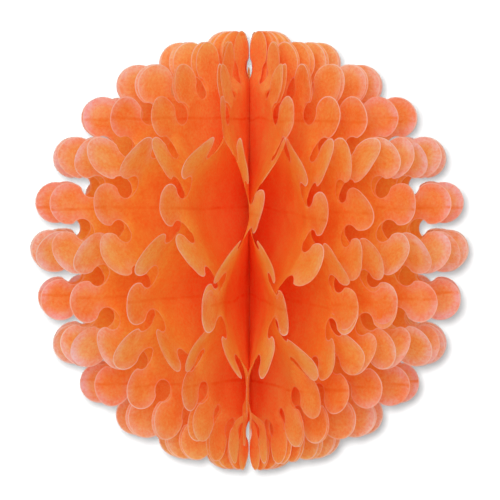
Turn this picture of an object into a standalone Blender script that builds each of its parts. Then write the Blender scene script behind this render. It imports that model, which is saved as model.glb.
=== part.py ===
"""A honeycomb ball of die-cut tissue paper, fanned out full circle round its upright spine.

The ball is a stack of half-round sheets. Each sheet has a straight edge, which is bound at the spine, and a
round edge, which is cut into knob-shaped lobes. Each sheet is glued to its two neighbours along level lines,
in turn to the one and to the other, so that the fanned sheets part and meet like the walls of a honeycomb.
Everything is in metres, with +Z up along the spine and the origin at the ball's centre. The front is -Y, and
azimuths are measured from there towards +X.
"""

import math

import bmesh
import bpy
from mathutils import Vector
from mathutils.geometry import delaunay_2d_cdt

MM = 0.001
DEG = math.radians(1)

# The die-cut outline of a sheet
BALL_RADIUS = 241.3 * MM  # from the centre to the lobes' tips: the ball is 19 inches across
LOBE_COUNT = 13  # lobes on a sheet, over half a circle
HEAD_GAP = 7.7 * MM  # between the round heads of neighbouring lobes
NOTCH_DEPTH = 54.0 * MM  # from the lobes' tips to the bottom of the notches
NOTCH_RADIUS = 11.8 * MM  # of the notches' round inner end

# How the round stretches of the outline are faceted
HEAD_CORNERS = (-100 * DEG, -27 * DEG, 27 * DEG, 100 * DEG)  # seen from a head's centre, 0 is outwards
NOTCH_CORNERS = (-52 * DEG, 52 * DEG)  # seen from a notch's centre, 0 is towards the ball's centre
FACET_SWELL = 1.065  # the corners stand outside the round line, so that the faceted head keeps its size

# The paper, and how the sheets lie against each other
SHEET_THICKNESS = 0.3 * MM
SHEET_CLEARANCE = 0.3 * MM  # between two sheets where they are glued or bound
SAME_POINT = 0.001 * MM  # outline points closer than this would be one

# The glue lines
GLUE_LINE_PITCH = 95.25 * MM  # between two levels of glue, 3.75 inches; the middle of the ball lies midway
GLUE_FLAT = 8.0 * MM  # above and below a glue line the two sheets lie flat together for this far

# The fan: the azimuth of each glued pair that shows at the front, and how many more close the circle behind
FRONT_PAIR_AZIMUTHS = (-86, -66, -45, -22, 2, 22, 34.5, 49, 68, 86)
BACK_PAIR_COUNT = 8
EVEN_FAN_RADIUS = 25.0 * MM  # the sheets leave the spine evenly, and have their own azimuths from here on

TISSUE_COLOUR = (0.84, 0.15, 0.025, 1.0)
TISSUE_ROUGHNESS = 0.9


# Worked out from the sizes above

LOBE_PITCH = math.pi / LOBE_COUNT
HALF_PITCH_SINE = math.sin(LOBE_PITCH / 2)
HEAD_RADIUS = (BALL_RADIUS * HALF_PITCH_SINE - HEAD_GAP / 2) / (1 + HALF_PITCH_SINE)
HEAD_CENTRE_RADIUS = BALL_RADIUS - HEAD_RADIUS
SPINE_HALF_LENGTH = BALL_RADIUS - NOTCH_DEPTH
NOTCH_CENTRE_RADIUS = SPINE_HALF_LENGTH + NOTCH_RADIUS

PAIR_COUNT = len(FRONT_PAIR_AZIMUTHS) + BACK_PAIR_COUNT
SHEET_COUNT = 2 * PAIR_COUNT
SHEET_OFFSET = (SHEET_THICKNESS + SHEET_CLEARANCE) / 2  # from the middle of a glued pair to each sheet's
SPINE_RADIUS = 2 * SHEET_OFFSET / (2 * math.pi / SHEET_COUNT)  # where the sheets stand side by side

GLUE_LINES_ABOVE = int(SPINE_HALF_LENGTH / GLUE_LINE_PITCH + 0.5)  # as many below the middle as above it
GLUE_LINE_HEIGHTS = [
    (number + 0.5) * GLUE_LINE_PITCH for number in range(-GLUE_LINES_ABOVE, GLUE_LINES_ABOVE)
]
LAST_GLUE_LINE = GLUE_LINE_HEIGHTS[-1]


def all_pair_azimuths():
    """The azimuths of the glued pairs round the whole circle, in radians."""
    first, last = FRONT_PAIR_AZIMUTHS[0], FRONT_PAIR_AZIMUTHS[-1]
    step = (360 + first - last) / (BACK_PAIR_COUNT + 1)
    behind = [last + step * (number + 1) for number in range(BACK_PAIR_COUNT)]
    return [azimuth * DEG for azimuth in (*FRONT_PAIR_AZIMUTHS, *behind)]


PAIR_AZIMUTHS = all_pair_azimuths()
EVEN_STEP = 2 * math.pi / PAIR_COUNT
EVEN_START = sum(azimuth - EVEN_STEP * pair for pair, azimuth in enumerate(PAIR_AZIMUTHS)) / PAIR_COUNT


def smooth(share):
    """Eases from 0 to 1, level at both ends."""
    share = min(max(share, 0.0), 1.0)
    return share * share * (3 - 2 * share)


def polar(radius, angle):
    return radius * math.cos(angle), radius * math.sin(angle)


# The flat sheet: points are (distance from the spine, height)


def head_points(angle):
    """The corners of the lobe's round head that points at this angle above the level."""
    centre_r, centre_z = polar(HEAD_CENTRE_RADIUS, angle)
    corners = [polar(HEAD_RADIUS * FACET_SWELL, angle + corner) for corner in HEAD_CORNERS]
    return [(centre_r + r, centre_z + z) for r, z in corners]


def notch_points(angle):
    """The corners of the notch's round inner end, which opens at this angle."""
    centre_r, centre_z = polar(NOTCH_CENTRE_RADIUS, angle)
    corners = [polar(NOTCH_RADIUS * FACET_SWELL, angle + math.pi - corner) for corner in NOTCH_CORNERS]
    return [(centre_r + r, centre_z + z) for r, z in corners]


def sheet_outline():
    """The sheet's outline, once round: up the lobes and down the bound edge."""
    outline = [notch_points(-math.pi / 2)[1]]
    for lobe in range(LOBE_COUNT):
        angle = (lobe + 0.5) * LOBE_PITCH - math.pi / 2
        outline += head_points(angle)
        outline += notch_points(angle + LOBE_PITCH / 2)
    outline.pop()
    outline.append((SPINE_RADIUS, SPINE_HALF_LENGTH))
    outline += [(SPINE_RADIUS, height) for height in reversed(GLUE_LINE_HEIGHTS)]
    outline.append((SPINE_RADIUS, -SPINE_HALF_LENGTH))
    return outline


def flat_triangles(outline):
    """The flat sheet cut into triangles, as numbers of outline points."""
    points = [Vector((r / MM, z / MM)) for r, z in outline]
    once_round = list(range(len(outline)))
    cut = delaunay_2d_cdt(points, [], [once_round], 1, SAME_POINT / MM)
    triangles, sources = cut[2], cut[3]
    return [[sources[corner][0] for corner in triangle] for triangle in triangles]


# The fanned sheet


def far_pair_share(height):
    """How far a sheet has gone over, at this height, from the pair glued above the middle to its other pair."""
    level = min(max(height, -LAST_GLUE_LINE), LAST_GLUE_LINE)
    steps = (level / GLUE_LINE_PITCH - 0.5) % 2
    from_line = min(steps, 2 - steps) * GLUE_LINE_PITCH
    share = smooth((from_line - GLUE_FLAT) / (GLUE_LINE_PITCH - 2 * GLUE_FLAT))
    past_last = abs(height) - LAST_GLUE_LINE - GLUE_FLAT
    loose = smooth(past_last / (BALL_RADIUS - LAST_GLUE_LINE))
    return share + (0.5 - share) * loose


def pair_azimuth(pair, radius):
    """The azimuth of the glued pair, which is even at the spine and its own further out."""
    turns, place = divmod(pair, PAIR_COUNT)
    even = EVEN_START + EVEN_STEP * place
    own = smooth((radius - SPINE_RADIUS) / (EVEN_FAN_RADIUS - SPINE_RADIUS))
    return even + (PAIR_AZIMUTHS[place] - even) * own + 2 * math.pi * turns


def sheet_azimuth(number, radius, height):
    """Where the middle of the sheet's paper stands at this distance from the spine and this height."""
    pair, right = divmod(number, 2)
    side = 1 if right else -1
    beside = math.asin(SHEET_OFFSET / radius)
    near = pair_azimuth(pair, radius)
    far = (near + pair_azimuth(pair + side, radius)) / 2
    share = far_pair_share(height)
    return (near + side * beside) * (1 - share) + (far - side * beside) * share


def sheet_point(number, radius, height, off_middle):
    """A point of the fanned sheet, off the middle of its paper by this much."""
    azimuth = sheet_azimuth(number, radius, height)
    out_x, out_y = math.sin(azimuth), -math.cos(azimuth)
    return radius * out_x - off_middle * out_y, radius * out_y + off_middle * out_x, height


def sheet_object(number, outline, triangles, material):
    """One sheet of paper, as a thin closed solid."""
    bm = bmesh.new()
    left = [bm.verts.new(sheet_point(number, r, z, -SHEET_THICKNESS / 2)) for r, z in outline]
    right = [bm.verts.new(sheet_point(number, r, z, SHEET_THICKNESS / 2)) for r, z in outline]
    for first, second, third in triangles:
        bm.faces.new((left[first], left[second], left[third]))
        bm.faces.new((right[third], right[second], right[first]))
    for here in range(len(outline)):
        after = (here + 1) % len(outline)
        bm.faces.new((left[here], right[here], right[after]))
        bm.faces.new((left[here], right[after], left[after]))
    bmesh.ops.recalc_face_normals(bm, faces=bm.faces[:])
    name = f"tissue_sheet_{number + 1:02d}"
    mesh = bpy.data.meshes.new(name)
    bm.to_mesh(mesh)
    bm.free()
    mesh.materials.append(material)
    sheet = bpy.data.objects.new(name, mesh)
    bpy.context.scene.collection.objects.link(sheet)


def tissue_material():
    material = bpy.data.materials.new("orange tissue")
    material.use_nodes = True
    shader = material.node_tree.nodes["Principled BSDF"]
    shader.inputs["Base Color"].default_value = TISSUE_COLOUR
    shader.inputs["Roughness"].default_value = TISSUE_ROUGHNESS
    shader.inputs["Metallic"].default_value = 0.0
    return material


def main():
    for old in list(bpy.data.objects):
        bpy.data.objects.remove(old, do_unlink=True)
    material = tissue_material()
    outline = sheet_outline()
    triangles = flat_triangles(outline)
    for number in range(SHEET_COUNT):
        sheet_object(number, outline, triangles, material)


main()
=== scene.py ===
import math

import bpy
import numpy as np
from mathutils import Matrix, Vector
from mathutils.geometry import delaunay_2d_cdt


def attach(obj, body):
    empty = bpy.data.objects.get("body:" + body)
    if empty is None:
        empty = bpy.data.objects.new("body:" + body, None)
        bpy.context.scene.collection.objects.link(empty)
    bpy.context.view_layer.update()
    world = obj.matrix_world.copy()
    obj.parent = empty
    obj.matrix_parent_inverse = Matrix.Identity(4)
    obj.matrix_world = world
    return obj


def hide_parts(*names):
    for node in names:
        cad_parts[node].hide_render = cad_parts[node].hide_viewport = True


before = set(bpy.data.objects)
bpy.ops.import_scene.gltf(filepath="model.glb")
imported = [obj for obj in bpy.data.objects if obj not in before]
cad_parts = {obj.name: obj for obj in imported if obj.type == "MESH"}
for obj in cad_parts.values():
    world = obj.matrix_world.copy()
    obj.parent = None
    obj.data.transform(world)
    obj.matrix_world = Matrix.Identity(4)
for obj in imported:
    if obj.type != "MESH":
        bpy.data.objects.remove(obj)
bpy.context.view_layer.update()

mm = 0.001

# The die-cut sheet, flat. Lengths are in millimetres, r is measured from the spine and z from the middle.
dieCut = {
    "ballRadius": 241.3,
    "lobes": 13,  # on the round edge
    "headGap": 7.7,  # between neighbouring heads
    "notchDepth": 54.0,  # from the tips to the bottom of the notches
    "notchRadius": 11.8,
    "cornerRounding": 1.1,  # how softly the die turns from head to notch
    "traceStep": 0.5,  # between points while the outline is traced
    "cutStep": 2.4,  # between points on the cut edge
    "boundStep": 6.0,  # and on the straight edge
    "outerStep": 4.6,  # between points inside, in the lobed part
    "outerFrom": 105.0,  # where that part begins
    "innerStep": 7.5,  # between points near the spine
    "stepGap": 2.0,  # left free between the two parts
    "edgeClearance": 2.3,  # no inside point lies closer to the edge
    "foldStep": 5.0,  # between points along a glue line
    "foldRows": (-1.7, 0, 1.7),  # how far its three rows of points are above it
    "foldClearance": 3.4,  # no other inside point lies closer to its height
}

# How the sheets are glued and fanned out. Angles are in degrees from the front, and grow to the right.
fan = {
    "frontPairs": (-86, -66, -45, -22, 2, 22, 34.5, 49, 68, 86),
    "backPairs": 8,
    "glueHeights": (-142.875, -47.625, 47.625, 142.875),
    "ownLines": (0, 2),  # the lines where the sheets 1 and 2, 3 and 4 and so on are glued
    # glue line, pair: the angle of a pair that stands aside from its place at this line
    "linePairs": {(0, 4): -1.0, (1, 4): 8.0, (2, 4): 0.0, (2, 5): 19.5, (2, 6): 32.0},
    "glueFlat": 3.0,  # the sheets lie together this far above and below a glue line
    "cellRoundness": 0.6,  # 0 is a straight wall between glue lines, 1 a soft S
    "unevenBends": 0.35,  # how differently the sheets bend between two glue lines
    "bends": {(8, 2): 0.3},  # the bend of a sheet above a glue line: above 0 it bends late, below 0 early
    "bendSeed": 4000,
    "looseReach": 75.0,  # beyond the last glue lines the sheets spread over this height
    "looseSpread": 0.2,  # and come apart by this share of the gap between pairs
    "stiffFrom": 183.0,  # from here out all of a lobe follows one height: its glue line's or its own
    "stiffOver": 20.0,  # over this far it grows stiff
    "gluedWithin": 15.0,  # a glue line this near the middle of a lobe holds it
    "polarBeyond": 20.0,  # lobes this far past the last glue lines follow their own height
    "evenUpTo": 25.0,  # the sheets leave the spine evenly, up to this radius
    "halfGap": 0.0875,  # from the middle of a glued pair to each paper
    "boundAt": 0.15,  # how near the middle of the spine the straight edges are bound
    "poleGap": 12.0,  # the fan opens this much to each side at the two seams, near both poles
    "poleGapFrom": 172.0,  # above and below the middle
    "poleGapOver": 45.0,  # the height over which it opens
    "poleGapRadius": 10.0,  # it starts at the spine and is full from this radius
    "seams": (8.5, 27.5),  # after which sheets they are: one at the front, one at the back
    "seamReach": 2.5,  # the sheets over which the opening fades
}

# How limp and handled the paper is, in millimetres of movement out of its plane
handling = {
    "twist": 3.6,
    "lean": 6.5,
    "cup": 2.0,
    "flatCup": 0.3,  # a cupped lobe stays as far forward as back
    "lobeSpread": 0.6,  # how unlike each other the lobes are
    "lobeLimit": 1.4,
    "tipBend": 1.4,  # above 1 a lobe bends more towards its tip
    "waves": (0.65, 55, 130, 7),  # size, shortest and longest wave, how many
    "crinkles": (0.11, 13, 30, 12),
    "puckers": (0.132, 8, 17, 6),  # along the glue lines
    "puckerReach": 9.0,
    "puckerStretch": 0.2,  # below 1 the puckers are drawn out upright
    # first sheet, last sheet, lobe from the lower pole: how far its tip leans aside, and its upper side turns
    "leaning": {
        (8, 9, 7): (14, 6),
        (8, 8, 8): (17, 7),
        (9, 9, 8): (-5, 0),
        (9, 10, 9): (9, 0),
        (10, 10, 6): (22, -5),
        (10, 10, 8): (-10, 0),
        (11, 11, 8): (-5, 0),
        (12, 13, 7): (4, -7),
        (7, 8, 5): (-6, 0),
        (9, 10, 5): (6, 0),
        (10, 11, 7): (5, -2),
        (8, 8, 4): (-5, -6),
        (9, 9, 4): (10, -4),
    },
    "fullFrom": 120.0,  # movement grows from nothing at the spine to its full size at this radius
    "leastRadius": 10.0,  # nearer the spine it turns the paper no further
    "sags": {8: 7, 9: 7, 10: 10, 11: 10, 12: 5, 13: 5},  # how much lower a sheet's outer part hangs
    "sagRadius": 230.0,  # where it hangs lowest
    "sagFades": (50.0, 100.0),  # above this height the sag fades, over this far
    "seeds": (1000, 2000, 3000),  # for pairs at their own lines, pairs at the other lines, single sheets
}


def smooth(share):
    share = np.clip(share, 0.0, 1.0)
    return share * share * (3 - 2 * share)


def arc(centreR, centreZ, radius, start, end, step):
    count = max(2, int(abs(end - start) * radius / step))
    angles = np.linspace(start, end, count)
    return np.column_stack((centreR + radius * np.cos(angles), centreZ + radius * np.sin(angles)))


def cutEdge(cut, spineRadius):
    # the round edge from the lower pole to the upper one
    pitch, step = math.pi / cut["lobes"], cut["traceStep"]
    sine = math.sin(pitch / 2)
    headRadius = (cut["ballRadius"] * sine - cut["headGap"] / 2) / (1 + sine)
    headOut = cut["ballRadius"] - headRadius
    notchOut = cut["ballRadius"] - cut["notchDepth"] + cut["notchRadius"]

    # where the circle of a head meets the circle of the notch above it
    between = math.sqrt(headOut**2 + notchOut**2 - 2 * headOut * notchOut * math.cos(pitch / 2))
    along = (between**2 + headRadius**2 - cut["notchRadius"] ** 2) / (2 * between)
    aside = math.sqrt(headRadius**2 - along**2)
    toNotch = np.array((notchOut * math.cos(pitch / 2) - headOut, notchOut * sine)) / between
    meet = np.array((headOut, 0.0)) + toNotch * along + np.array((toNotch[1], -toNotch[0])) * aside
    headSweep = math.atan2(meet[1], meet[0] - headOut)
    notchCentre = notchOut * np.array((math.cos(pitch / 2), sine))
    notchSweep = pitch / 2 - math.atan2(meet[1] - notchCentre[1], meet[0] - notchCentre[0])

    def head(angle):
        centre = headOut * math.cos(angle), headOut * math.sin(angle)
        return arc(*centre, headRadius, angle - headSweep, angle + headSweep, step)

    def notch(angle, start, end):
        centre = notchOut * math.cos(angle), notchOut * math.sin(angle)
        return arc(*centre, cut["notchRadius"], angle + start, angle + end, step)

    runs = [notch(-math.pi / 2, -math.pi, notchSweep - 2 * math.pi)]
    for lobe in range(cut["lobes"]):
        angle = (lobe + 0.5) * pitch - math.pi / 2
        runs.append(head(angle))
        last = lobe == cut["lobes"] - 1
        runs.append(notch(angle + pitch / 2, -notchSweep, -math.pi if last else notchSweep - 2 * math.pi))
    line = np.concatenate(runs)

    # round the corners a little, then space the points evenly
    reach = int(cut["cornerRounding"] * 3 / step)
    weights = np.exp(-0.5 * (np.arange(-reach, reach + 1) * step / cut["cornerRounding"]) ** 2)
    weights /= weights.sum()
    before, after = 2 * line[0] - line[reach:0:-1], 2 * line[-1] - line[-2 : -reach - 2 : -1]
    padded = np.concatenate((before, line, after))
    line = np.column_stack([np.convolve(padded[:, axis], weights, "valid") for axis in (0, 1)])
    line[:, 0] = np.maximum(line[:, 0], spineRadius)
    length = np.concatenate(([0], np.cumsum(np.hypot(*np.diff(line, axis=0).T))))
    at = np.linspace(0, length[-1], int(length[-1] / cut["cutStep"]))
    return np.column_stack([np.interp(at, length, line[:, axis]) for axis in (0, 1)]), headRadius


def edgeDistance(points, line):
    # how far each point is from a line of points
    nearest = np.full(len(points), np.inf)
    for start, run in zip(line[:-1], np.diff(line, axis=0)):
        share = np.clip((points - start) @ run / (run @ run), 0, 1)
        nearest = np.minimum(nearest, np.hypot(*(points - start - share[:, None] * run).T))
    return nearest


def inside(points, loop):
    hit = np.zeros(len(points), bool)
    for (r1, z1), (r2, z2) in zip(loop, np.roll(loop, -1, axis=0)):
        if z1 == z2:
            continue
        crosses = (points[:, 1] > z1) != (points[:, 1] > z2)
        hit ^= crosses & (points[:, 0] < (r2 - r1) * (points[:, 1] - z1) / (z2 - z1) + r1)
    return hit


def lattice(step, reach):
    # rows of points, the corners of nearly even triangles
    rows = []
    for number, z in enumerate(np.arange(-reach, reach, step * 0.866)):
        r = np.arange(step * (0.5 + 0.5 * (number % 2)), reach, step)
        rows.append(np.column_stack((r, np.full(len(r), z))))
    return np.concatenate(rows)


def flatSheet(cut, glueHeights, spineRadius):
    # the flat sheet: points (r, z), triangles, each point's distance from the cut edge, and the heads' radius
    edge, headRadius = cutEdge(cut, spineRadius)
    top = edge[-1][1]
    heights = np.linspace(top, -top, int(2 * top / cut["boundStep"]))[1:-1]
    loop = np.concatenate((edge, np.column_stack((np.full(len(heights), spineRadius), heights))))
    reach = cut["ballRadius"]
    fine, coarse = lattice(cut["outerStep"], reach), lattice(cut["innerStep"], reach)
    fine = fine[np.hypot(*fine.T) > cut["outerFrom"]]
    coarse = coarse[np.hypot(*coarse.T) < cut["outerFrom"] - cut["stepGap"]]
    free = np.concatenate((fine, coarse))
    rows = []
    for height in glueHeights:
        free = free[abs(free[:, 1] - height) > cut["foldClearance"]]
        r = np.arange(cut["foldStep"], reach, cut["foldStep"])
        rows += [np.column_stack((r, np.full(len(r), height + shift))) for shift in cut["foldRows"]]
    free = np.concatenate([free] + rows)
    free = free[inside(free, loop)]
    free = free[edgeDistance(free, np.concatenate((loop, loop[:1]))) > cut["edgeClearance"]]
    points = np.concatenate((loop, free))
    result = delaunay_2d_cdt([Vector(p) for p in points], [], [list(range(len(loop)))], 1, 0.001)
    triangles = np.array([[result[3][corner][0] for corner in face] for face in result[2]])
    depth = np.zeros(len(points))
    depth[len(edge) :] = edgeDistance(points[len(edge) :], edge)
    return points, triangles, depth, headRadius


pairCount = len(fan["frontPairs"]) + fan["backPairs"]
stepAngle = 2 * math.pi / pairCount
lineCount = len(fan["glueHeights"])
spineRadius = fan["boundAt"]
points, triangles, cutDepth, headRadius = flatSheet(dieCut, fan["glueHeights"], spineRadius)
print("flat sheet:", len(points), "points,", len(triangles), "triangles")


def pairAngles():
    # the angle of each glued pair at each glue line, in radians
    first, last = fan["frontPairs"][0], fan["frontPairs"][-1]
    step = (360 + first - last) / (fan["backPairs"] + 1)
    own = list(fan["frontPairs"]) + [last + step * (number + 1) for number in range(fan["backPairs"])]
    after = own[1:] + [own[0] + 360]
    other = [(here + there) / 2 for here, there in zip(own, after)]
    table = np.array([own if line in fan["ownLines"] else other for line in range(lineCount)], float)
    for place, angle in fan["linePairs"].items():
        table[place] = angle
    return np.radians(table)


angleTable = pairAngles()
evenStart = (angleTable[0] - stepAngle * np.arange(pairCount)).mean()


def lineShares(number, z):
    # how much each of the glue lines rules this sheet at these heights
    bends = np.random.default_rng(fan["bendSeed"] + number).uniform(-1, 1, lineCount - 1) * fan["unevenBends"]
    heights, flat = fan["glueHeights"], fan["glueFlat"]
    shares = np.zeros((lineCount, len(z)))
    for low in range(lineCount - 1):
        part = (z >= heights[low]) & (z <= heights[low + 1])
        run = (z[part] - heights[low] - flat) / (heights[low + 1] - heights[low] - 2 * flat)
        run = np.clip(run, 0, 1)
        over = run + (smooth(run) - run) * fan["cellRoundness"]
        bend = fan["bends"].get((number, low), bends[low])
        over = over ** (1 + bend) if bend > 0 else 1 - (1 - over) ** (1 - bend)
        shares[low, part] = 1 - over
        shares[low + 1, part] = over
    for last, inner, past in ((0, 1, heights[0] - z), (-1, -2, z - heights[-1])):
        part = past > 0
        loose = fan["looseSpread"] * smooth((past[part] - flat) / fan["looseReach"])
        shares[last, part] = 1 - loose
        shares[inner, part] = loose
    return shares


def lobeOf(r, z):
    # the lobe that each point belongs to, and the angle it points at
    pitch = math.pi / dieCut["lobes"]
    angle = np.arctan2(z, r) + math.pi / 2
    number = np.clip((angle / pitch).astype(int), 0, dieCut["lobes"] - 1)
    return number, (number + 0.5) * pitch - math.pi / 2


def acrossLobe(r, z):
    # from about -1 at a lobe's lower side to 1 at its upper side
    return np.sin(np.arctan2(z, r) - lobeOf(r, z)[1]) * np.hypot(r, z) / headRadius


def outOnLobe(r, z):
    # 0 where the lobes begin, 1 at their tips
    share = (np.hypot(r, z) - dieCut["ballRadius"] + dieCut["notchDepth"]) / dieCut["notchDepth"]
    return np.clip(share, 0, 1) ** handling["tipBend"]


def followedHeights(r, z):
    # the height whose fold each point follows: its own, or on a stiff lobe that of the glue line or the lobe
    followed = z.copy()
    lobeHeight = (dieCut["ballRadius"] - headRadius) * np.sin(lobeOf(r, z)[1])
    stiff = smooth((np.hypot(r, z) - fan["stiffFrom"]) / fan["stiffOver"])
    for height in fan["glueHeights"]:
        glued = abs(lobeHeight - height) < fan["gluedWithin"]
        followed[glued] += (stiff * (height - z))[glued]
    polar = abs(lobeHeight) > fan["glueHeights"][-1] + fan["polarBeyond"]
    followed[polar] += (stiff * (lobeHeight - z))[polar]
    return followed


def waves(rng, r, z, size, shortest, longest, count):
    total = np.zeros(len(r))
    for _ in range(count):
        turn, phase = rng.uniform(0, 2 * math.pi, 2)
        perLength = 2 * math.pi / rng.uniform(shortest, longest)
        total += np.cos(perLength * (r * math.cos(turn) + z * math.sin(turn)) + phase)
    return size * total / math.sqrt(count / 2)


def handled(seed, r, z):
    # how far the paper stands out of its plane here, in millimetres
    rng = np.random.default_rng(seed)
    lobe, across = lobeOf(r, z)[0], acrossLobe(r, z)
    limit = handling["lobeLimit"]
    twist, lean, cup = rng.normal(0, handling["lobeSpread"], (3, dieCut["lobes"])).clip(-limit, limit)
    moved = outOnLobe(r, z) * (
        handling["twist"] * twist[lobe] * across
        + handling["lean"] * lean[lobe]
        + handling["cup"] * cup[lobe] * (across**2 - handling["flatCup"])
    )
    moved += waves(rng, r, z, *handling["waves"])
    moved += waves(rng, r, z, *handling["crinkles"])
    near = np.min([abs(z - height) for height in fan["glueHeights"]], axis=0)
    puckers = waves(rng, r, z * handling["puckerStretch"], *handling["puckers"])
    return moved + puckers * np.exp(-near / handling["puckerReach"])


def fanAngles(number, r, followed, shares):
    # the angle of the fanned sheet at each point, before it is handled
    own = smooth((r - spineRadius) / (fan["evenUpTo"] - spineRadius))
    beside = np.arcsin(np.minimum(fan["halfGap"] / r, math.sin(stepAngle / 4)))
    right = 1 if number % 2 else -1
    angle = np.zeros(len(r))
    for line in range(lineCount):
        isOwn = line in fan["ownLines"]
        pair = number // 2 if isOwn else (number - 1) // 2
        turns, place = divmod(pair, pairCount)
        even = evenStart + stepAngle * (pair + (0 if isOwn else 0.5))
        target = angleTable[line][place] + 2 * math.pi * turns
        side = right if isOwn else -right
        angle += shares[line] * (even + (target - even) * own + side * beside)
    opened = smooth((abs(followed) - fan["poleGapFrom"]) / fan["poleGapOver"])
    gap = math.radians(fan["poleGap"]) * opened * smooth(r / fan["poleGapRadius"])
    for seam in fan["seams"]:
        off = (number - seam + pairCount) % (2 * pairCount) - pairCount
        angle += math.copysign(1, off) * gap * math.exp((0.5 - abs(off)) / fan["seamReach"])
    return angle


def sheetMiddle(number, r, z):
    # where each point of the flat sheet comes to lie, in millimetres
    followed = followedHeights(r, z)
    shares = lineShares(number, followed)
    ownShare = sum(shares[line] for line in fan["ownLines"])
    otherShare = 1 - ownShare
    ownSeed, otherSeed, sheetSeed = handling["seeds"]
    moved = ownShare * handled(ownSeed + number // 2, r, z)
    moved += otherShare * handled(otherSeed + (number - 1) // 2 % pairCount, r, z)
    moved += 4 * ownShare * otherShare * handled(sheetSeed + number, r, z)
    lobe, across, out = lobeOf(r, z)[0], acrossLobe(r, z), outOnLobe(r, z)
    for (first, last, leaningLobe), (lean, turn) in handling["leaning"].items():
        if first <= number <= last:
            moved += (lean + turn * across) * (lobe == leaningLobe) * out
    moved *= np.clip(r / handling["fullFrom"], 0, 1)
    angle = fanAngles(number, r, followed, shares) + moved / np.maximum(r, handling["leastRadius"])
    fadeFrom, fadeOver = handling["sagFades"]
    sag = handling["sags"].get(number, 0) * smooth(r / handling["sagRadius"])
    height = z - sag * (1 - smooth((z - fadeFrom) / fadeOver))
    return np.column_stack((r * np.sin(angle), -r * np.cos(angle), height))


# The tissue's colours and strengths. Depths are in millimetres from the cut edge, other lengths in metres.
tissue = {
    "plain": (0.98, 0.45, 0.065, 1),
    "pale": (0.98, 0.595, 0.555, 1),  # the lobes' margins, painted paler for light that shines through the thin paper from behind
    "paleReach": (0.18, 0.23),  # from the ball's centre
    "marginDepth": (0.5, 13),
    "palingInside": 0.25,  # how much of the margins' paleness is left in the middle of a lobe
    "cloudScale": 38,
    "cloudPaling": (0.45, 1.0),  # how much the clouds let the margins pale
    "paintedBacklightSides": (0.45, 0.95),  # from the front round to the side the painted backlight grows between these shares
    "leastPaintedBacklight": 0.3,
    "paintedSpineLight": (0.998, 0.58, 0.155, 1),  # near the spine, painted lighter for the light that reaches deep into the cells
    "paintedSpineLightReach": (0.03, 0.18),
    "mottleScale": 330,
    "mottleRange": (0.57, 0.93),
    "mottleLow": (1, 0.7, 0.6, 1),
    "mottleHigh": (0.999, 1.25, 1.43, 1),
    "glued": (0.95, 0.29, 0.03, 1),
    "gluedWander": 0.007,
    "gluedWidth": (0.0004, 0.0024),
    "gluedStrength": 0.7,
    # a painted highlight along the cut rims
    "rim": (0.995, 0.79, 0.67, 1),
    "rimDepth": (0.3, 1.7),
    "rimReach": (0.19, 0.225),  # from the ball's centre
    "rimInNotches": 0.35,
    "bumpStrength": 0.5,
    "bumpHeight": 0.0004,
    "roughness": 0.85,
    "specular": 0.18,
    "throughShare": 0.4,
    "throughTint": (1.0, 0.95, 0.9, 1),
    "patternStep": 0.31,  # between the places of two sheets in the noise
}


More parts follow.
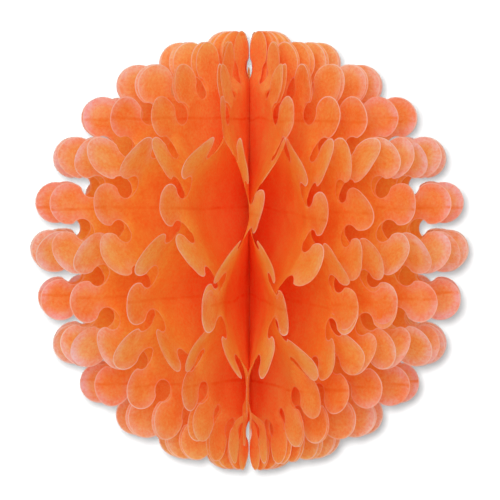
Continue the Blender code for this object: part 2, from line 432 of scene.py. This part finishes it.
def makeTissue(look):
    material = bpy.data.materials.new("orangeTissue")
    material.use_nodes = True
    nodes, links = material.node_tree.nodes, material.node_tree.links
    nodes.clear()

    def add(kind, **values):
        node = nodes.new(kind)
        for key, value in values.items():
            setattr(node, key, value)
        return node

    def fill(node, sockets, values):
        for socket, value in zip(sockets, values):
            if hasattr(value, "links"):
                links.new(value, node.inputs[socket])
            else:
                node.inputs[socket].default_value = value

    def ranged(source, low, high, first, last, kind="SMOOTHSTEP"):
        node = add("ShaderNodeMapRange", interpolation_type=kind)
        fill(node, ("Value", "From Min", "From Max", "To Min", "To Max"), (source, low, high, first, last))
        return node.outputs["Result"]

    def mixed(factor, first, second, kind="MIX"):
        node = add("ShaderNodeMix", data_type="RGBA", blend_type=kind)
        fill(node, (0, 6, 7), (factor, first, second))
        return node.outputs[2]

    def maths(operation, first, second):
        node = add("ShaderNodeMath", operation=operation)
        fill(node, (0, 1), (first, second))
        return node.outputs[0]

    def noise(scale, detail, roughness=0.55):
        node = add("ShaderNodeTexNoise")
        fill(node, ("Vector", "Scale", "Detail", "Roughness"), (place, scale, detail, roughness))
        return node.outputs["Fac"]

    place = add("ShaderNodeAttribute", attribute_name="cutPlace").outputs["Vector"]
    depth = add("ShaderNodeAttribute", attribute_name="cutDepth").outputs["Fac"]
    paintedBacklight = add("ShaderNodeAttribute", attribute_name="paintedBacklight").outputs["Fac"]
    split = add("ShaderNodeSeparateXYZ")
    links.new(place, split.inputs[0])
    r, z = split.outputs[0], split.outputs[1]
    flat = add("ShaderNodeCombineXYZ")
    fill(flat, (0, 1), (r, z))
    length = add("ShaderNodeVectorMath", operation="LENGTH")
    links.new(flat.outputs[0], length.inputs[0])
    rho = length.outputs["Value"]

    # painted light: the lobes pale towards their cut edge, in clouds, and more on the sheets at the sides,
    # for light that shines through the thin paper from behind
    margin = ranged(depth, *look["marginDepth"], 1, look["palingInside"])
    cloud = noise(look["cloudScale"], 3)
    paling = maths("MULTIPLY", ranged(rho, *look["paleReach"], 0, 1), margin)
    paling = maths("MULTIPLY", paling, ranged(cloud, 0.35, 0.65, *look["cloudPaling"], "LINEAR"))
    paling = maths("MULTIPLY", paling, ranged(paintedBacklight, 0, 1, look["leastPaintedBacklight"], 1, "LINEAR"))
    colour = mixed(paling, look["plain"], look["pale"])
    # painted light: towards the spine the colour is painted lighter, for light that reaches deep between the
    # sheets
    colour = mixed(ranged(r, *look["paintedSpineLightReach"], 1, 0), colour, look["paintedSpineLight"])

    # the mottling shifts the green and blue, and leaves the red alone, so that the cells stay bright
    mottle = maths("ADD", noise(look["mottleScale"], 5, 0.75), maths("MULTIPLY", cloud, 0.5))
    mottle = ranged(mottle, *look["mottleRange"], 0, 1, "LINEAR")
    colour = mixed(1.0, colour, mixed(mottle, look["mottleLow"], look["mottleHigh"]), "MULTIPLY")

    # the glue lines show as faint darker streaks
    pitch = (fan["glueHeights"][1] - fan["glueHeights"][0]) * mm
    wander = ranged(noise(9, 1), 0, 1, -look["gluedWander"], look["gluedWander"], "LINEAR")
    fromLine = maths("PINGPONG", maths("ADD", maths("ADD", z, wander), pitch / 2), pitch / 2)
    streak = ranged(fromLine, *look["gluedWidth"], look["gluedStrength"], 0)
    streak = maths("MULTIPLY", streak, ranged(noise(60, 2), 0.35, 0.65, 0.15, 1, "LINEAR"))
    colour = mixed(streak, colour, look["glued"])

    # painted highlight: the cut rims are painted lighter, as if they catch the light, least in the notches
    rimLight = ranged(depth, *look["rimDepth"], 1, 0)
    rimLight = maths("MULTIPLY", rimLight, ranged(noise(17, 1), 0.35, 0.65, 0.3, 1, "LINEAR"))
    rimLight = maths("MULTIPLY", rimLight, ranged(rho, *look["rimReach"], look["rimInNotches"], 1))
    colour = mixed(rimLight, colour, look["rim"])

    bump = add("ShaderNodeBump")
    height = maths("ADD", noise(420, 4, 0.7), maths("MULTIPLY", noise(1500, 2), 0.4))
    fill(bump, ("Strength", "Distance", "Height"), (look["bumpStrength"], look["bumpHeight"], height))

    front = add("ShaderNodeBsdfPrincipled")
    fill(front, ("Roughness", "Specular IOR Level"), (look["roughness"], look["specular"]))
    fill(front, ("Base Color", "Normal"), (colour, bump.outputs[0]))
    through = add("ShaderNodeBsdfTranslucent")
    links.new(mixed(1.0, colour, look["throughTint"], "MULTIPLY"), through.inputs["Color"])
    blend = add("ShaderNodeMixShader")
    fill(blend, (0, 1, 2), (look["throughShare"], front.outputs[0], through.outputs[0]))
    output = add("ShaderNodeOutputMaterial")
    links.new(blend.outputs[0], output.inputs["Surface"])
    print("material:", material.name)
    return material


def makeSheet(number, material):
    r, z = points.T
    middle = sheetMiddle(number, r, z)
    name = f"fannedSheet{number + 1:02d}"
    mesh = bpy.data.meshes.new(name)
    mesh.from_pydata(middle * mm, [], triangles.tolist())
    mesh.shade_smooth()
    place = np.column_stack((r * mm, z * mm, np.full(len(points), number * tissue["patternStep"])))
    mesh.attributes.new("cutPlace", "FLOAT_VECTOR", "POINT").data.foreach_set("vector", place.ravel())
    mesh.attributes.new("cutDepth", "FLOAT", "POINT").data.foreach_set("value", cutDepth)
    sideways = (abs(middle[:, 0]) / np.maximum(r, 1)).mean()  # 0 in front and behind, 1 at the sides
    start, end = tissue["paintedBacklightSides"]
    # how much painted backlight this sheet takes: more on the sheets at the sides
    paintedBacklight = np.full(len(points), smooth((sideways - start) / (end - start)))
    mesh.attributes.new("paintedBacklight", "FLOAT", "POINT").data.foreach_set("value", paintedBacklight)
    mesh.materials.append(material)
    sheet = bpy.data.objects.new(name, mesh)
    bpy.context.scene.collection.objects.link(sheet)
    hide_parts(f"tissue_sheet_{number + 1:02d}")
    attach(sheet, "root")


tissueMaterial = makeTissue(tissue)
for number in range(2 * pairCount):
    makeSheet(number, tissueMaterial)
print("sheets:", 2 * pairCount)

# The camera, in metres and degrees
viewpoint = {
    "distance": 4.83,
    "height": 1.5,  # degrees above the level
    "frameWidth": 0.5486,  # across the picture at the ball's centre
    "aim": (0.0005, 0, 0),
    "sensorWidth": 36,
}


def makeCamera(setup):
    camera = bpy.data.cameras.new("camera")
    camera.sensor_width = setup["sensorWidth"]
    camera.lens = setup["sensorWidth"] * setup["distance"] / setup["frameWidth"]
    holder = bpy.data.objects.new("camera", camera)
    tilt = math.radians(setup["height"])
    back = Vector((0, -math.cos(tilt), math.sin(tilt)))
    holder.location = Vector(setup["aim"]) + back * setup["distance"]
    holder.rotation_euler = (-back).to_track_quat("-Z", "Y").to_euler()
    bpy.context.scene.collection.objects.link(holder)
    bpy.context.scene.camera = holder


# The soft studio light: a wide sun from the front and a white world
softLight = {
    "keyStrength": 1.05,
    "keyAngle": 35,  # degrees across: how soft the sun is
    "keyTurn": (77, 0, -6),
    "worldStrength": 0.7,
    "worldSeen": 1.0,  # what the camera and the gloss see of it
}


def makeLight(setup):
    sun = bpy.data.lights.new("key", "SUN")
    sun.energy = setup["keyStrength"]
    sun.angle = math.radians(setup["keyAngle"])
    holder = bpy.data.objects.new("key", sun)
    holder.rotation_euler = [math.radians(turn) for turn in setup["keyTurn"]]
    bpy.context.scene.collection.objects.link(holder)
    world = bpy.data.worlds.new("softWhite")
    world.use_nodes = True
    bpy.context.scene.world = world
    nodes, links = world.node_tree.nodes, world.node_tree.links
    nodes.clear()
    path = nodes.new("ShaderNodeLightPath")
    seen = nodes.new("ShaderNodeMath")
    seen.operation = "MAXIMUM"
    links.new(path.outputs["Is Camera Ray"], seen.inputs[0])
    links.new(path.outputs["Is Glossy Ray"], seen.inputs[1])
    strength = nodes.new("ShaderNodeMapRange")
    strength.inputs["To Min"].default_value = setup["worldStrength"]
    strength.inputs["To Max"].default_value = setup["worldSeen"]
    links.new(seen.outputs[0], strength.inputs["Value"])
    background = nodes.new("ShaderNodeBackground")
    background.inputs["Color"].default_value = (1, 1, 1, 1)
    links.new(strength.outputs["Result"], background.inputs["Strength"])
    output = nodes.new("ShaderNodeOutputWorld")
    links.new(background.outputs[0], output.inputs["Surface"])


# The pale floor, well below the ball
paleFloor = {
    "height": -1.3,
    "halfSize": 9,
    "colour": (0.88, 0.88, 0.88, 1),
    "roughness": 0.8,
    "glow": 0.3,  # for the camera alone
}


def makeFloor(setup):
    size = setup["halfSize"]
    corners = [(-size, -size), (size, -size), (size, size), (-size, size)]
    mesh = bpy.data.meshes.new("floor")
    mesh.from_pydata([(x, y, setup["height"]) for x, y in corners], [], [(0, 1, 2, 3)])
    material = bpy.data.materials.new("paleFloor")
    material.use_nodes = True
    nodes, links = material.node_tree.nodes, material.node_tree.links
    shader = nodes["Principled BSDF"]
    shader.inputs["Base Color"].default_value = setup["colour"]
    shader.inputs["Roughness"].default_value = setup["roughness"]
    shader.inputs["Emission Color"].default_value = (1, 1, 1, 1)
    path = nodes.new("ShaderNodeLightPath")
    glow = nodes.new("ShaderNodeMath")
    glow.operation = "MULTIPLY"
    glow.inputs[1].default_value = setup["glow"]
    links.new(path.outputs["Is Camera Ray"], glow.inputs[0])
    links.new(glow.outputs[0], shader.inputs["Emission Strength"])
    mesh.materials.append(material)
    floor = bpy.data.objects.new("floor", mesh)
    bpy.context.scene.collection.objects.link(floor)


# The round white board behind the ball, which takes the soft shadow, and the lamp that lights it alone
whiteBoard = {
    "behind": 0.255,
    "radius": 0.43,  # its edge lies outside the picture
    "corners": 64,
    "colour": (0.13, 0.13, 0.13, 1),
    "glow": 0.134,  # with this it shines on the ball much as the world does
    "glowSeen": 0.36,  # for the camera: with the lamp's light the board is white, and the shadow grey
    "lampStrength": 5100,
    "lampSize": 0.1,
    "lampAside": (-0.072, 0, 0.082),  # from the camera
}


def makeBoard(setup):
    turns = np.linspace(0, 2 * math.pi, setup["corners"], endpoint=False)
    corners = [(setup["radius"] * math.cos(turn), setup["radius"] * math.sin(turn)) for turn in turns]
    mesh = bpy.data.meshes.new("board")
    mesh.from_pydata([(x, setup["behind"], z) for x, z in corners], [], [tuple(range(len(corners)))])
    material = bpy.data.materials.new("whiteBoard")
    material.use_nodes = True
    nodes, links = material.node_tree.nodes, material.node_tree.links
    nodes.clear()
    diffuse = nodes.new("ShaderNodeBsdfDiffuse")
    diffuse.inputs["Color"].default_value = setup["colour"]
    path = nodes.new("ShaderNodeLightPath")
    strength = nodes.new("ShaderNodeMapRange")
    strength.inputs["To Min"].default_value = setup["glow"]
    strength.inputs["To Max"].default_value = setup["glowSeen"]
    links.new(path.outputs["Is Camera Ray"], strength.inputs["Value"])
    glow = nodes.new("ShaderNodeEmission")
    links.new(strength.outputs["Result"], glow.inputs["Strength"])
    both = nodes.new("ShaderNodeAddShader")
    links.new(diffuse.outputs[0], both.inputs[0])
    links.new(glow.outputs[0], both.inputs[1])
    clear = nodes.new("ShaderNodeBsdfTransparent")  # its back
    side = nodes.new("ShaderNodeNewGeometry")
    blend = nodes.new("ShaderNodeMixShader")
    links.new(side.outputs["Backfacing"], blend.inputs[0])
    links.new(both.outputs[0], blend.inputs[1])
    links.new(clear.outputs[0], blend.inputs[2])
    output = nodes.new("ShaderNodeOutputMaterial")
    links.new(blend.outputs[0], output.inputs["Surface"])
    mesh.materials.append(material)
    board = bpy.data.objects.new("board", mesh)
    bpy.context.scene.collection.objects.link(board)

    light = bpy.data.lights.new("boardLamp", "POINT")
    light.energy = setup["lampStrength"]
    light.shadow_soft_size = setup["lampSize"]
    lamp = bpy.data.objects.new("boardLamp", light)
    lamp.location = bpy.context.scene.camera.location + Vector(setup["lampAside"])
    bpy.context.scene.collection.objects.link(lamp)
    lit = bpy.data.collections.new("boardOnly")
    lit.objects.link(board)
    lamp.light_linking.receiver_collection = lit


makeCamera(viewpoint)
makeLight(softLight)
makeFloor(paleFloor)
makeBoard(whiteBoard)
bpy.context.scene.view_settings.view_transform = "Standard"
bounces = bpy.context.scene.cycles  # thin bright paper passes light on many times
bounces.max_bounces, bounces.diffuse_bounces, bounces.transmission_bounces = 64, 32, 32
print("studio ready")
